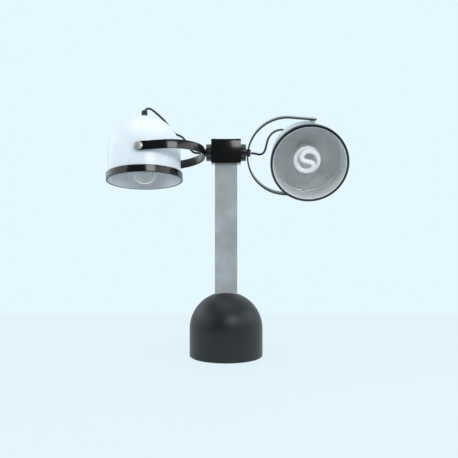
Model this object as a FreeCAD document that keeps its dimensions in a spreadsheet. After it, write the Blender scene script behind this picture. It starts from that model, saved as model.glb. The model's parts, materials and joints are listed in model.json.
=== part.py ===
"""Twin-head tabletop searchlight lamp.

A domed base carries a square-edged column and a block. A hollow stud turns in a drum on each side
of the block and carries a U-shaped strap, and a dome shade tilts on two screws at the strap's ends.
Millimetres, +Z up, origin on the table under the middle of the base, -Y towards the viewer.
"""
import FreeCAD, Part
import Sketcher
import math
import os
import re
from types import SimpleNamespace

from FreeCAD import Placement, Rotation, Vector

SIZES = {
    # base
    "base_radius": 62.5,
    "skirt_height": 47.5,
    "cover_wall": 1.5,
    "cover_lift": 1.0,
    "lip_width": 7.0,
    "pad_height": 2.0,
    "plate_thick": 2.0,
    "weight_height": 22.0,
    "inlet_height": 36.0,
    "inlet_radius": 4.0,
    "base_screw_circle": 38.0,
    "base_screw_radius": 2.0,
    "base_screw_head": 3.8,
    "base_screw_reach": 8.0,
    "grommet_lip": 1.0,
    "grommet_flange": 2.0,
    "grommet_gap": 0.3,
    # column and its rod
    "column_width": 38.0,
    "column_depth": 20.0,
    "column_wall": 1.5,
    "column_corner": 0.4,
    "column_length": 302.1,
    "rod_radius": 3.0,
    "rod_nut_radius": 5.8,
    "rod_nut_height": 5.0,
    "rod_end": 2.0,
    "wire_lane": 10.5,
    "wire_slot_height": 60.0,
    # block on the column
    "block_width": 50.3,
    "block_depth": 36.0,
    "block_height": 38.0,
    "block_wall": 2.5,
    "block_floor": 4.0,
    "lid_thick": 2.5,
    "post_radius": 3.6,
    "post_height": 8.0,
    "post_overlap": 0.6,
    "lid_screw_reach": 6.0,
    "lid_screw_head": 1.2,
    "swivel_rise": 19.2,
    "terminal_width": 26.0,
    "terminal_height": 13.0,
    "terminal_front_room": 12.0,
    "terminal_head_radius": 3.0,
    "terminal_head": 2.0,
    "lead_seat": 4.0,
    "screw_radius": 1.5,
    "screw_head_radius": 2.7,
    # swivels
    "drum_radius": 14.5,
    "drum_depth": 8.8,
    "drum_screw_offset": 11.0,
    "drum_screw_head": 1.8,
    "left_droop": 4.0,
    "right_droop": 4.8,
    "stud_radius": 5.0,
    "stud_bore": 2.8,
    "collar_radius": 6.5,
    "collar_length": 1.85,
    "hub_nut_radius": 6.6,
    "hub_nut_length": 3.0,
    "ferrule_radius": 5.2,
    "ferrule_length": 1.6,
    "spigot_length": 2.0,
    "swivel_nut_radius": 7.2,
    "swivel_nut_length": 4.0,
    # strap
    "strap_width": 15.0,
    "strap_thick": 2.5,
    "strap_gap": 3.8,
    "arm_length": 36.25,
    "left_swing": 9.4,
    "right_swing": 70.0,
    "left_tilt": -2.6,
    "right_tilt": 0.0,
    # shade and its mouth ring
    "shade_radius": 61.7,
    "shade_wall": 1.2,
    "mouth_drop": 42.0,
    "dome_rise": 9.5,
    "rim_width": 3.5,
    "rim_height": 11.7,
    "pivot_radius": 3.0,
    "cap_radius": 6.6,
    "cap_height": 2.4,
    "spacer_radius": 5.5,
    "spacer_sink": 0.6,
    "pivot_nut_radius": 4.6,
    "pivot_nut_height": 1.6,
    # gland and lamp holder
    "gland_radius": 5.15,
    "gland_height": 11.5,
    "gland_sink": 0.6,
    "gland_mouth": 4.1,
    "flute_count": 10,
    "flute_radius": 0.9,
    "flute_depth": 0.6,
    "nipple_radius": 3.8,
    "nipple_bore": 1.5,
    "nipple_nut_radius": 6.8,
    "nipple_nut_height": 4.0,
    "nut_dish_gap": 0.5,
    "holder_radius": 13.5,
    "holder_length": 44.0,
    "holder_mouth": 12.0,
    "thread_depth": 8.0,
    "contact_height": 2.0,
    "cord_seat": 8.0,
    # bulbs
    "bulb_cap_radius": 6.9,
    "bulb_cap_end": 31.0,
    "bulb_cap_length": 22.0,
    "bulb_cap_floor": 2.0,
    "globe_radius": 22.5,
    "globe_wall": 0.8,
    "globe_centre_drop": 24.6,
    "neck_rise": 18.6,
    "neck_radius": 6.4,
    "neck_tail": 3.0,
    "stem_radius": 1.6,
    "stem_length": 18.0,
    "stem_tail": 2.0,
    "ballast_radius": 22.0,
    "ballast_length": 13.0,
    "ballast_shoulder": 3.0,
    "coil_radius": 20.0,
    "coil_tube_radius": 4.3,
    "coil_pitch": 19.0,
    "coil_front_drop": 28.0,
    "coil_turn": 270.0,
    "coil_shift": 2.5,
    "bridge_softness": 1.6,
    "bridge_heading": 5.0,
    "socket_depth": 6.0,
    "socket_circle": 13.5,
    "leg_lean": 9.0,
    # cords and clearances
    "flex_radius": 1.9,
    "flex_first_run": 11.0,
    "flex_last_run": 6.6,
    "lead_radius": 2.7,
    "cord_gap": 0.2,
    "thread_end": 1.0,
    "running_gap": 0.05,
    "free_gap": 0.4,
    "seat_gap": 0.1,
}

doc = FreeCAD.newDocument("searchlight_lamp")
sheet = doc.addObject("Spreadsheet::Sheet", "Sizes")
for row, (alias, number) in enumerate(SIZES.items(), start=1):
    sheet.set(f"A{row}", alias)
    sheet.set(f"B{row}", str(number))
    sheet.setAlias(f"B{row}", alias)
doc.recompute()
d = SimpleNamespace(**{alias: float(sheet.get(alias)) for alias in SIZES})

nodes = []
ALONG = {
    "x": Rotation(Vector(0, 1, 0), 90),
    "y": Rotation(Vector(1, 0, 0), -90),
    "z": Rotation(),
}
HERE = Placement()
# a sketch is drawn this wide before its sizes are bound
DRAWN = 10.0
# how much of a straight run each of a cord's arcs takes
ARC_SHARE = 0.45


def bound(text):
    """Write an expression with each size as a cell of the sheet."""
    return re.sub(r"[a-z]\w*", lambda word: "Sizes." + word[0] if word[0] in SIZES else word[0], text)


def shape(kind, name, x="0", y="0", z="0", along="z", **sizes):
    """Add a Part primitive whose sizes and place are bound to the sheet."""
    item = doc.addObject("Part::" + kind, name)
    item.Placement = Placement(Vector(), ALONG[along])
    for axis, text in (("x", x), ("y", y), ("z", z)):
        item.setExpression("Placement.Base." + axis, bound(text))
    for key, text in sizes.items():
        item.setExpression(key, bound(text))
    return item


def rod(name, radius, length, **place):
    return shape("Cylinder", name, Radius=radius, Height=length, **place)


def box(name, width, depth, height, z="0", x="0", y="0"):
    """Add a box centred on x and y, standing on z."""
    return shape("Box", name, x=f"{x} - ({width}) / 2", y=f"{y} - ({depth}) / 2", z=z,
                 Length=width, Width=depth, Height=height)


def hexagon(name, radius, height, **place):
    item = shape("Prism", name, Circumradius=radius, Height=height, **place)
    item.Polygon = 6
    return item


def fuse(name, *items):
    item = doc.addObject("Part::MultiFuse", name)
    item.Shapes = list(items)
    item.Refine = True
    return item


def cut(name, base, *tools):
    item = doc.addObject("Part::Cut", name)
    item.Base = base
    item.Tool = tools[0] if len(tools) == 1 else fuse(name + "_tools", *tools)
    item.Refine = True
    return item


def group(name, *items):
    """Hold separate solids of one kind in one node."""
    item = doc.addObject("Part::Compound", name)
    item.Links = list(items)
    return item


def tube(name, radius, bore, length, **place):
    return cut(name, rod(name + "_outer", radius, length, **place),
               rod(name + "_bore", bore, length, **place))


def piece(item, place=HERE):
    """Make an object one of the lamp's nodes, put at its place."""
    item.Placement = place
    nodes.append(item)
    return item


def body_sketch(name, plane, number=""):
    """Start a body, if it is new, and a sketch on one of its origin planes."""
    body = doc.getObject(name) or doc.addObject("PartDesign::Body", name)
    sketch = body.newObject("Sketcher::SketchObject", name + "_sketch" + number)
    origin = next(f for f in body.Origin.OriginFeatures if f.Role == plane)
    sketch.AttachmentSupport = [(origin, "")]
    sketch.MapMode = "FlatFace"
    return body, sketch


def rectangle(sketch, width, depth, name):
    """Draw a rectangle centred on the sketch's origin, its two sizes bound to the sheet."""
    corners = [Vector(sx, sy, 0) * (DRAWN / 2) for sx, sy in ((-1, -1), (1, -1), (1, 1), (-1, 1))]
    first = sketch.GeometryCount
    for number in range(4):
        sketch.addGeometry(Part.LineSegment(corners[number], corners[(number + 1) % 4]), False)
    for number in range(4):
        sketch.addConstraint(Sketcher.Constraint("Coincident", first + number, 2,
                                                 first + (number + 1) % 4, 1))
    for number, way in enumerate(("Horizontal", "Vertical", "Horizontal", "Vertical")):
        sketch.addConstraint(Sketcher.Constraint(way, first + number))
    sketch.addConstraint(Sketcher.Constraint("Symmetric", first, 1, first + 1, 2, -1, 1))
    for side, text, label in ((first, width, name + "_width"), (first + 1, depth, name + "_depth")):
        at = sketch.addConstraint(Sketcher.Constraint("Distance", side, DRAWN))
        sketch.renameConstraint(at, label)
        sketch.setExpression("Constraints." + label, bound(text))


def pad(body, sketch, length):
    item = body.newObject("PartDesign::Pad", sketch.Name + "_pad")
    item.Profile = sketch
    item.setExpression("Length", bound(length))
    return item


def round_edges(body, base, radius, wanted):
    """Fillet the edges of a body's feature that the test picks."""
    doc.recompute()
    names = [f"Edge{n}" for n, edge in enumerate(base.Shape.Edges, start=1) if wanted(edge)]
    item = body.newObject("PartDesign::Fillet", base.Name + "_round")
    item.Base = (base, names)
    item.setExpression("Radius", bound(radius))
    return item


def upright(edge):
    first, last = (vertex.Point for vertex in edge.Vertexes[:2]) if len(edge.Vertexes) == 2 else (0, 0)
    return first != 0 and abs(first.x - last.x) + abs(first.y - last.y) < 1e-6


def domed_shell(name, radius, wall, bottom, centre):
    """A straight skirt under a half sphere, hollow, open at the bottom."""
    skirt = rod(name + "_skirt", radius, f"{centre} - ({bottom})", z=bottom)
    dome = shape("Sphere", name + "_dome", z=centre, Radius=radius)
    dome.Angle1 = 0
    hollow = rod(name + "_hollow", f"{radius} - {wall}", f"{centre} - ({bottom})", z=bottom)
    ceiling = shape("Sphere", name + "_ceiling", z=centre, Radius=f"{radius} - {wall}")
    ceiling.Angle1 = 0
    return fuse(name + "_full", skirt, dome), [hollow, ceiling]


def cord(name, points, radius, place=HERE):
    """Make a round tube along straight runs joined by tangent arcs, and print its radii."""
    route = [Vector(*point) for point in points]
    edges = []
    start = route[0]
    for before, corner, after in zip(route, route[1:], route[2:]):
        incoming = (corner - before).normalize()
        outgoing = (after - corner).normalize()
        half_turn = incoming.getAngle(outgoing) / 2
        setback = ARC_SHARE * min((corner - before).Length, (after - corner).Length)
        bend = setback / math.tan(half_turn)
        entry = corner - incoming * setback
        leave = corner + outgoing * setback
        to_middle = (outgoing - incoming).normalize()
        crown = corner + to_middle * (bend / math.cos(half_turn) - bend)
        edges += [Part.LineSegment(start, entry).toShape(), Part.Arc(entry, crown, leave).toShape()]
        start = leave
        print(f"{name}: turn {math.degrees(2 * half_turn):.0f} degrees, radius {bend:.1f}")
    edges.append(Part.LineSegment(start, route[-1]).toShape())
    path = Part.Wire(edges)
    section = Part.Wire(Part.Circle(route[0], (route[1] - route[0]), radius).toShape())
    solid = path.makePipeShell([section], True, False)
    expected = math.pi * radius ** 2 * path.Length
    print(f"{name}: length {path.Length:.1f}, volume {solid.Volume:.0f}, expected {expected:.0f}")
    item = doc.addObject("Part::Feature", name)
    item.Shape = solid
    return piece(item, place)


# Base: cover, weight, plate and pad

plate_bottom = "pad_height"
lip_bottom = "pad_height + plate_thick"
weight_bottom = "pad_height + plate_thick + cover_wall"
weight_top = "pad_height + plate_thick + cover_wall + weight_height"
cover_inside = "base_radius - cover_wall"

cover, cover_room = domed_shell("base_cover", "base_radius", "cover_wall", "cover_lift", "skirt_height")
cover_hollow = cut("base_cover_hollow_shell", cover, *cover_room)
lip = tube("base_cover_lip", f"{cover_inside} + cover_wall / 2", f"{cover_inside} - lip_width",
           "cover_wall", z=lip_bottom)
cover_slot = box("base_cover_slot", "column_width + 2 * seat_gap", "column_depth + 2 * seat_gap",
                 "base_radius", z="skirt_height")
inlet_hole = rod("base_cover_inlet", "inlet_radius", "base_radius", z="inlet_height", along="y")
piece(cut("base_cover", fuse("base_cover_body", cover_hollow, lip), cover_slot, inlet_hole))

rod_hole = rod("weight_rod_hole", "rod_radius + free_gap", "weight_height", z=weight_bottom)
nut_well = rod("weight_nut_well", "rod_nut_radius + 3 * free_gap", "rod_nut_height + free_gap",
               z=weight_bottom)
SCREW_TURNS = (90, 210, 330)


def on_circle(turn, radius):
    """The x and y of a point on a circle round the lamp's axis, as expressions."""
    return {"x": f"{radius} * cos({turn} deg)", "y": f"{radius} * sin({turn} deg)"}


screw_holes = [rod(f"weight_screw_hole_{turn}", "base_screw_radius", "base_screw_reach + thread_end",
                   z=weight_bottom, **on_circle(turn, "base_screw_circle")) for turn in SCREW_TURNS]
weight_disc = rod("weight_disc", f"{cover_inside} - free_gap", "weight_height", z=weight_bottom)
piece(cut("base_weight", weight_disc, rod_hole, nut_well, *screw_holes))

plate_disc = rod("plate_disc", f"{cover_inside} - free_gap", "plate_thick", z=plate_bottom)
plate_holes = [rod(f"plate_hole_{turn}", "base_screw_radius", "plate_thick", z=plate_bottom,
                   **on_circle(turn, "base_screw_circle")) for turn in SCREW_TURNS]
piece(cut("base_plate", plate_disc, *plate_holes))

pad_disc = rod("pad_disc", f"{cover_inside} - 2 * free_gap", "pad_height")
pad_holes = [rod(f"pad_hole_{turn}", "base_screw_head + free_gap", "pad_height",
                 **on_circle(turn, "base_screw_circle")) for turn in SCREW_TURNS]
piece(cut("base_pad", pad_disc, *pad_holes))

base_screws = []
for turn in SCREW_TURNS:
    spot = on_circle(turn, "base_screw_circle")
    shank = rod(f"base_screw_shank_{turn}", "base_screw_radius",
                "plate_thick + cover_wall + base_screw_reach", z=plate_bottom, **spot)
    head = rod(f"base_screw_top_{turn}", "base_screw_head", "pad_height - free_gap", z="free_gap", **spot)
    base_screws.append(fuse(f"base_screw_{turn}", shank, head))
piece(group("base_screws", *base_screws))

grommet = fuse("inlet_grommet_body",
               rod("grommet_barrel", "inlet_radius", "cover_wall + 2 * grommet_lip", z="inlet_height",
                   along="y", y="base_radius - cover_wall - grommet_lip"),
               rod("grommet_ring", "inlet_radius + grommet_flange", "grommet_flange", z="inlet_height",
                   along="y", y="base_radius + grommet_gap"))
piece(cut("inlet_grommet", grommet,
          rod("grommet_bore", "lead_radius + cord_gap", "base_radius", z="inlet_height", along="y")))

# Column, tie rod and its nuts

column_bottom = weight_top
column_top = weight_top + " + column_length"

column, outline = body_sketch("column", "XY_Plane")
rectangle(outline, "column_width", "column_depth", "outer")
column_pad = pad(column, outline, "column_length")
round_edges(column, column_pad, "column_corner", upright)
column, room = body_sketch("column", "XY_Plane", "_room")
rectangle(room, "column_width - 2 * column_wall", "column_depth - 2 * column_wall", "inner")
hollow = column.newObject("PartDesign::Pocket", "column_hollow")
hollow.Profile = room
hollow.Reversed = True
hollow.setExpression("Length", bound("column_length"))
column, slot_outline = body_sketch("column", "XZ_Plane", "_slot")
rectangle(slot_outline, "2 * lead_radius + 2 * free_gap", "wire_slot_height", "slot")
slot_outline.setExpression("AttachmentOffset.Base.x", bound("wire_lane"))
slot_outline.setExpression("AttachmentOffset.Base.y", bound("inlet_height"))
wire_slot = column.newObject("PartDesign::Pocket", "column_wire_slot")
wire_slot.Profile = slot_outline
wire_slot.setExpression("Length", bound("column_depth"))
column.setExpression("Placement.Base.z", bound(column_bottom))
nodes.append(column)

rod_top = f"{column_top} + block_floor + rod_nut_height + rod_end"
piece(rod("tie_rod", "rod_radius", f"{rod_top} - ({weight_bottom}) - free_gap",
          z=f"{weight_bottom} + free_gap"))
lower_nut = cut("tie_nut_lower", hexagon("tie_nut_lower_hex", "rod_nut_radius", "rod_nut_height",
                                         z=f"{weight_bottom} + free_gap"),
                rod("tie_nut_lower_hole", "rod_radius", "rod_nut_height", z=f"{weight_bottom} + free_gap"))
upper_nut = cut("tie_nut_upper", hexagon("tie_nut_upper_hex", "rod_nut_radius", "rod_nut_height",
                                         z=f"{column_top} + block_floor"),
                rod("tie_nut_upper_hole", "rod_radius", "rod_nut_height", z=f"{column_top} + block_floor"))
piece(group("tie_nuts", lower_nut, upper_nut))

# Block, its lid and what it holds

block_bottom = column_top
block_top = column_top + " + block_height"
block_inside_width = "block_width - 2 * block_wall"
block_inside_depth = "block_depth - 2 * block_wall"
swivel_height = block_bottom + " + swivel_rise"


def side_frame(side):
    """The place of a side's stud frame, x outward along the stud, from the drum's outer face."""
    outward = -1 if side == "left" else 1
    facing = Rotation(Vector(0, 0, 1), 180 if side == "left" else 0)
    droop = Rotation(Vector(0, 1, 0), d.left_droop if side == "left" else d.right_droop)
    height = (d.pad_height + d.plate_thick + d.cover_wall + d.weight_height + d.column_length
              + d.swivel_rise)
    return Placement(Vector(outward * (d.block_width / 2 + d.drum_depth), 0, height), facing * droop)


def bore_along_stud(name, side, radius, inner, length):
    """A cylinder on a side's stud axis, from a distance inside the drum's face."""
    item = rod(name, radius, length, along="x")
    place = side_frame(side) * Placement(Vector(-inner, 0, 0), ALONG["x"])
    item.setExpression("Placement.Base.x", None)
    item.setExpression("Placement.Base.y", None)
    item.setExpression("Placement.Base.z", None)
    item.Placement = place
    return item


corner_x = "(block_width / 2 - block_wall - post_radius + post_overlap)"
corner_y = "(block_depth / 2 - block_wall - post_radius + post_overlap)"
CORNERS = (("", ""), ("-", ""), ("", "-"), ("-", "-"))
block_outer = box("block_outer", "block_width", "block_depth", "block_height", z=block_bottom)
block_room = box("block_room", block_inside_width, block_inside_depth, "block_height",
                 z=f"{block_bottom} + block_floor")
posts = [rod(f"block_post_{n}", "post_radius", "post_height", x=sx + corner_x, y=sy + corner_y,
             z=f"{block_top} - post_height") for n, (sx, sy) in enumerate(CORNERS)]
post_holes = [rod(f"block_post_hole_{n}", "screw_radius", "post_height", x=sx + corner_x, y=sy + corner_y,
                  z=f"{block_top} - post_height") for n, (sx, sy) in enumerate(CORNERS)]
block_hollow = cut("block_hollow", block_outer, block_room)
block_bores = [bore_along_stud(f"block_bore_{side}", side, "stud_radius + 2 * free_gap",
                               d.drum_depth + 2 * d.block_wall, "drum_depth + 2 * block_wall")
               for side in ("left", "right")]
wall_start = {"left": "-block_width / 2 - thread_end", "right": "block_width / 2 - block_wall - thread_end"}
drum_screw_holes = [rod(f"block_drum_screw_hole_{side}_{n}", "screw_radius", "block_wall + 2 * thread_end",
                        along="x", x=wall_start[side], y=sign + "drum_screw_offset", z=swivel_height)
                    for side in ("left", "right") for n, sign in enumerate(("", "-"))]
floor_holes = [rod("block_rod_hole", "rod_radius + free_gap", "block_floor", z=block_bottom),
               rod("block_lead_hole", "lead_radius + free_gap", "block_floor", x="wire_lane",
                   z=block_bottom)]
piece(cut("head_block", fuse("block_body", block_hollow, *posts), *block_bores, *drum_screw_holes,
          *floor_holes, *post_holes))

lid_plate = box("lid_plate", "block_width", "block_depth", "lid_thick", z=block_top)
lid_holes = [rod(f"lid_hole_{n}", "screw_radius", "lid_thick", x=sx + corner_x, y=sy + corner_y, z=block_top)
             for n, (sx, sy) in enumerate(CORNERS)]
piece(cut("block_lid", lid_plate, *lid_holes))

block_screws = []
for n, (sx, sy) in enumerate(CORNERS):
    spot = {"x": sx + corner_x, "y": sy + corner_y}
    shank = rod(f"block_screw_shank_{n}", "screw_radius", "lid_thick + lid_screw_reach",
                z=f"{block_top} - lid_screw_reach", **spot)
    head = rod(f"block_screw_head_{n}", "screw_head_radius", "lid_screw_head",
               z=f"{block_top} + lid_thick", **spot)
    block_screws.append(fuse(f"block_screw_{n}", shank, head))
piece(group("block_screws", *block_screws))

terminal_bottom = f"{swivel_height} - terminal_height / 2"
terminal_depth = f"{block_inside_depth} - terminal_front_room"
terminal_y = f"({block_inside_depth}) / 2 - ({terminal_depth}) / 2"
terminal = box("terminal_body", "terminal_width", terminal_depth, "terminal_height",
               z=terminal_bottom, y=terminal_y)
screw_spot = {"x": "0", "z": swivel_height, "along": "y"}
terminal_bore_stop = d.terminal_width / 2 - d.lead_seat - d.thread_end
terminal_bores = [bore_along_stud(f"terminal_bore_{side}", side, "flex_radius + cord_gap",
                                  d.drum_depth + d.block_width / 2 - terminal_bore_stop, "block_width / 4")
                  for side in ("left", "right")]
piece(cut("terminal_block", terminal, *terminal_bores,
          rod("terminal_hole", "screw_radius", "block_depth", y="-block_depth / 2", **screw_spot)))
terminal_front = f"({block_inside_depth}) / 2 - ({terminal_depth})"
piece(fuse("terminal_screw",
           rod("terminal_screw_shank", "screw_radius", terminal_depth, y=terminal_front, **screw_spot),
           rod("terminal_screw_head", "terminal_head_radius", "terminal_head",
               y=f"{terminal_front} - terminal_head", **screw_spot)))

drum_screws = []
for side, sign in (("left", "-"), ("right", "")):
    drum_x = "-block_width / 2 - drum_depth" if side == "left" else "block_width / 2"
    drum = rod(f"drum_{side}_disc", "drum_radius", "drum_depth", along="x", x=drum_x, z=swivel_height)
    bore = bore_along_stud(f"drum_bore_{side}", side, "stud_radius + running_gap",
                           2 * d.drum_depth, "3 * drum_depth")
    spot_face = bore_along_stud(f"drum_spot_face_{side}", side, "collar_radius + free_gap", 0,
                                "collar_length")
    depth = "drum_depth / 2"
    hole_x = f"-block_width / 2 - {depth}" if side == "left" else "block_width / 2"
    holes = [rod(f"drum_hole_{side}_{n}", "screw_radius", depth, along="x", x=hole_x,
                 y=way + "drum_screw_offset", z=swivel_height) for n, way in enumerate(("", "-"))]
    drum_body = cut(f"drum_{side}_body", drum, bore, spot_face)
    piece(cut(f"drum_{side}", drum_body, *holes))
    for n, way in enumerate(("", "-")):
        spot = {"y": way + "drum_screw_offset", "z": swivel_height, "along": "x"}
        inner_x = f"{sign}(block_width / 2 - block_wall)"
        reach = f"block_wall + {depth}"
        shank_x = f"{inner_x} - ({reach})" if side == "left" else inner_x
        head_x = inner_x if side == "left" else f"{inner_x} - drum_screw_head"
        shank = rod(f"drum_screw_shank_{side}_{n}", "screw_radius", reach, x=shank_x, **spot)
        head = rod(f"drum_screw_head_{side}_{n}", "screw_head_radius", "drum_screw_head", x=head_x, **spot)
        drum_screws.append(fuse(f"drum_screw_{side}_{n}", shank, head))
piece(group("drum_screws", *drum_screws))

terminal_floor = (d.pad_height + d.plate_thick + d.cover_wall + d.weight_height + d.column_length
                  + d.swivel_rise - d.terminal_height / 2)
COLUMN_LEAD = [(0, d.base_radius, d.inlet_height), (0, 46, 36), (6, 30, 38), (d.wire_lane, 15, 50),
               (d.wire_lane, 2, 66), (d.wire_lane, 0, 90), (d.wire_lane, 0, terminal_floor)]
cord("column_lead", COLUMN_LEAD, d.lead_radius)


# Yokes: stud, strap, nuts and ferrule, each in its stud's frame

web_x = "(seat_gap + collar_length)"
strap_radius = "(shade_radius + strap_gap + strap_thick / 2)"
bend_x = f"({web_x} + strap_thick / 2 + {strap_radius})"
pivot_x = f"({bend_x} + arm_length)"
hub_x = f"({web_x} + strap_thick)"
stud_end_x = f"({hub_x} + hub_nut_length)"
swivel_nut_x = "(-drum_depth - block_wall - 2 * free_gap - swivel_nut_length)"
stud_start_x = f"({swivel_nut_x} - thread_end)"


def stud(name):
    shank = rod(name + "_shank", "stud_radius", f"{stud_end_x} - {stud_start_x}", x=stud_start_x, along="x")
    collar = rod(name + "_collar", "collar_radius", "collar_length", x="seat_gap", along="x")
    bore = rod(name + "_bore", "stud_bore", f"{stud_end_x} - {stud_start_x}", x=stud_start_x, along="x")
    return cut(name, fuse(name + "_body", shank, collar), bore)


def strap(name):
    half_rings = []
    for part, offset in (("outer", "+ strap_thick / 2"), ("inner", "- strap_thick / 2")):
        ring = shape("Cylinder", f"{name}_{part}", x=bend_x, z="-strap_width / 2",
                     Radius=f"{strap_radius} {offset}", Height="strap_width")
        ring.Angle = 180
        ring.Placement.Rotation = Rotation(Vector(0, 0, 1), 90)
        half_rings.append(ring)
    bend = cut(name + "_bend", *half_rings)
    arms = []
    for end, sign in (("near", "-"), ("far", "")):
        arms.append(box(f"{name}_arm_{end}", "arm_length", "strap_thick", "strap_width",
                        x=f"{bend_x} + arm_length / 2", y=f"{sign}{strap_radius}", z="-strap_width / 2"))
        arms.append(rod(f"{name}_end_{end}", "strap_width / 2", "strap_thick", along="y", x=pivot_x,
                        y=f"{sign}{strap_radius} - strap_thick / 2"))
    pivot_hole = rod(name + "_pivot_hole", "pivot_radius + running_gap", f"4 * {strap_radius}",
                     along="y", x=pivot_x, y=f"-2 * {strap_radius}")
    stud_hole = rod(name + "_stud_hole", "stud_radius", "3 * strap_thick", along="x", x="0")
    spot_face = rod(name + "_spot_face", "hub_nut_radius + free_gap", "strap_thick", along="x", x=hub_x)
    return cut(name, fuse(name + "_bar", bend, *arms), pivot_hole, stud_hole, spot_face)


def ferrule(name):
    flange = rod(name + "_flange", "ferrule_radius", "ferrule_length", along="x", x=stud_end_x)
    spigot = rod(name + "_spigot", "stud_bore", "spigot_length", along="x",
                 x=f"{stud_end_x} - spigot_length")
    bore = rod(name + "_bore", "flex_radius + cord_gap", "spigot_length + ferrule_length", along="x",
               x=f"{stud_end_x} - spigot_length")
    return cut(name, fuse(name + "_body", flange, spigot), bore)


def ring_nut(name, radius, height, hole, **place):
    return cut(name, hexagon(name + "_hex", radius, height, **place),
               rod(name + "_hole", hole, height, **place))


# Heads: shade, mouth ring, gland, holder and pivots, each in its pivot's frame

mouth_z = "(-mouth_drop)"
dome_top = "(dome_rise + shade_radius)"
nipple_top = f"({dome_top} + gland_height - cord_seat)"
holder_top = "(holder_mouth + holder_length)"
contact_top = "(bulb_cap_end + contact_height)"
cap_bottom = "(bulb_cap_end - bulb_cap_length)"
shade_inside = "(shade_radius - shade_wall)"
strap_outside = f"({strap_radius} + strap_thick / 2)"


def across(name, radius, start, length, sign):
    """A rod on the pivot axis, from a distance out from the middle of the head, on one side."""
    y = start if sign > 0 else f"-({start}) - ({length})"
    return rod(name, radius, length, along="y", y=y)


def shade(name):
    full, room = domed_shell(name, "shade_radius", "shade_wall", mouth_z, "dome_rise")
    nipple_hole = rod(name + "_nipple_hole", "nipple_radius", "shade_radius", z="dome_rise")
    pivot_hole = rod(name + "_pivot_hole", "pivot_radius", "2 * shade_radius", along="y", y="-shade_radius")
    return cut(name, full, *room, nipple_hole, pivot_hole)


def gland(name):
    height = "gland_height + gland_sink"
    bottom = f"{dome_top} - gland_sink"
    barrel = rod(name + "_barrel", "gland_radius - flute_depth", height, z=bottom)
    count = int(d.flute_count)
    ribs = [rod(f"{name}_rib_{n}", "flute_radius", height, z=bottom,
                **on_circle(n * 360 / count, "(gland_radius - flute_radius)")) for n in range(count)]
    seat = shape("Sphere", name + "_seat", z="dome_rise", Radius="shade_radius")
    nipple_hole = rod(name + "_nipple_hole", "nipple_radius", f"{nipple_top} - dome_rise", z="dome_rise")
    mouth = shape("Cone", name + "_mouth", z=nipple_top, Radius1="flex_radius + cord_gap",
                  Radius2="gland_mouth", Height="cord_seat")
    return cut(name, fuse(name + "_body", barrel, *ribs), seat, nipple_hole, mouth)


def holder(name):
    body = rod(name + "_body", "holder_radius", "holder_length", z="holder_mouth")
    recess = rod(name + "_recess", "bulb_cap_radius + seat_gap", f"{contact_top} - holder_mouth",
                 z="holder_mouth")
    thread = rod(name + "_thread", "nipple_radius", "thread_depth", z=f"{holder_top} - thread_depth")
    return cut(name, body, recess, thread)


def pivots(side):
    """The two pivot screws with their caps, the spacers and the nuts of one head."""
    screws, spacers, nuts = [], [], []
    shell = rod(f"pivot_spacer_shell_{side}", "shade_radius", "4 * spacer_radius", z="-2 * spacer_radius")
    for end, sign in (("near", -1), ("far", 1)):
        tag = f"{side}_{end}"
        inner_end = f"{shade_inside} - free_gap - pivot_nut_height - thread_end"
        shank = across("pivot_shank_" + tag, "pivot_radius", inner_end,
                       f"{strap_outside} + seat_gap - ({inner_end})", sign)
        cap = across("pivot_cap_" + tag, "cap_radius", f"{strap_outside} + seat_gap", "cap_height", sign)
        screws.append(fuse("pivot_screw_" + tag, shank, cap))
        start = "shade_radius - spacer_sink"
        length = f"{strap_radius} - strap_thick / 2 - seat_gap - ({start})"
        collar = cut("pivot_collar_" + tag, across("pivot_collar_disc_" + tag, "spacer_radius", start,
                                                   length, sign), shell)
        spacers.append(cut("pivot_spacer_" + tag, collar,
                           across("pivot_spacer_hole_" + tag, "pivot_radius", start, length, sign)))
        nut_start = f"{shade_inside} - free_gap - pivot_nut_height"
        y = nut_start if sign > 0 else f"-({nut_start}) - pivot_nut_height"
        nuts.append(ring_nut("pivot_nut_" + tag, "pivot_nut_radius", "pivot_nut_height", "pivot_radius",
                             along="y", y=y))
    return screws, spacers, nuts


def hollow_cap(name):
    """A bulb's screw cap, open towards the bulb."""
    outer = rod(name + "_outer", "bulb_cap_radius", "bulb_cap_length", z=cap_bottom)
    room = rod(name + "_room", "neck_radius", "bulb_cap_length - bulb_cap_floor", z=cap_bottom)
    return cut(name, outer, room)


def globe(name):
    """The clear glass: a sphere and a neck that tapers into the cap, hollow and open at the neck."""
    centre = "(-globe_centre_drop)"
    neck_z = f"({centre} + neck_rise)"
    neck_length = f"({cap_bottom} - {neck_z})"
    ball = shape("Sphere", name + "_ball", z=centre, Radius="globe_radius")
    neck = shape("Cone", name + "_neck", z=neck_z, Height=neck_length, Radius2="neck_radius",
                 Radius1="sqrt(globe_radius * globe_radius - neck_rise * neck_rise)")
    ball_room = shape("Sphere", name + "_ball_room", z=centre, Radius="globe_radius - globe_wall")
    neck_room = shape("Cone", name + "_neck_room", z=neck_z, Height=neck_length,
                      Radius1="sqrt(globe_radius * globe_radius - neck_rise * neck_rise) - globe_wall",
                      Radius2="neck_radius - globe_wall")
    tail = rod(name + "_tail", "neck_radius", "neck_tail", z=cap_bottom)
    tail_room = rod(name + "_tail_room", "neck_radius - globe_wall", "neck_tail", z=cap_bottom)
    return cut(name, fuse(name + "_glass", ball, neck, tail), ball_room, neck_room, tail_room)


def arc_from(start, heading, end):
    """The arc that leaves start along heading and reaches end."""
    chord = end - start
    side = heading.cross(chord).cross(heading)
    if side.Length < 1e-9:
        return Part.LineSegment(start, end).toShape()
    side.normalize()
    bend = chord.dot(chord) / (2 * chord.dot(side))
    centre = start + side * bend
    middle = centre + ((start - centre) + (end - centre)).normalize() * bend
    return Part.Arc(start, middle, end).toShape()


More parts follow.
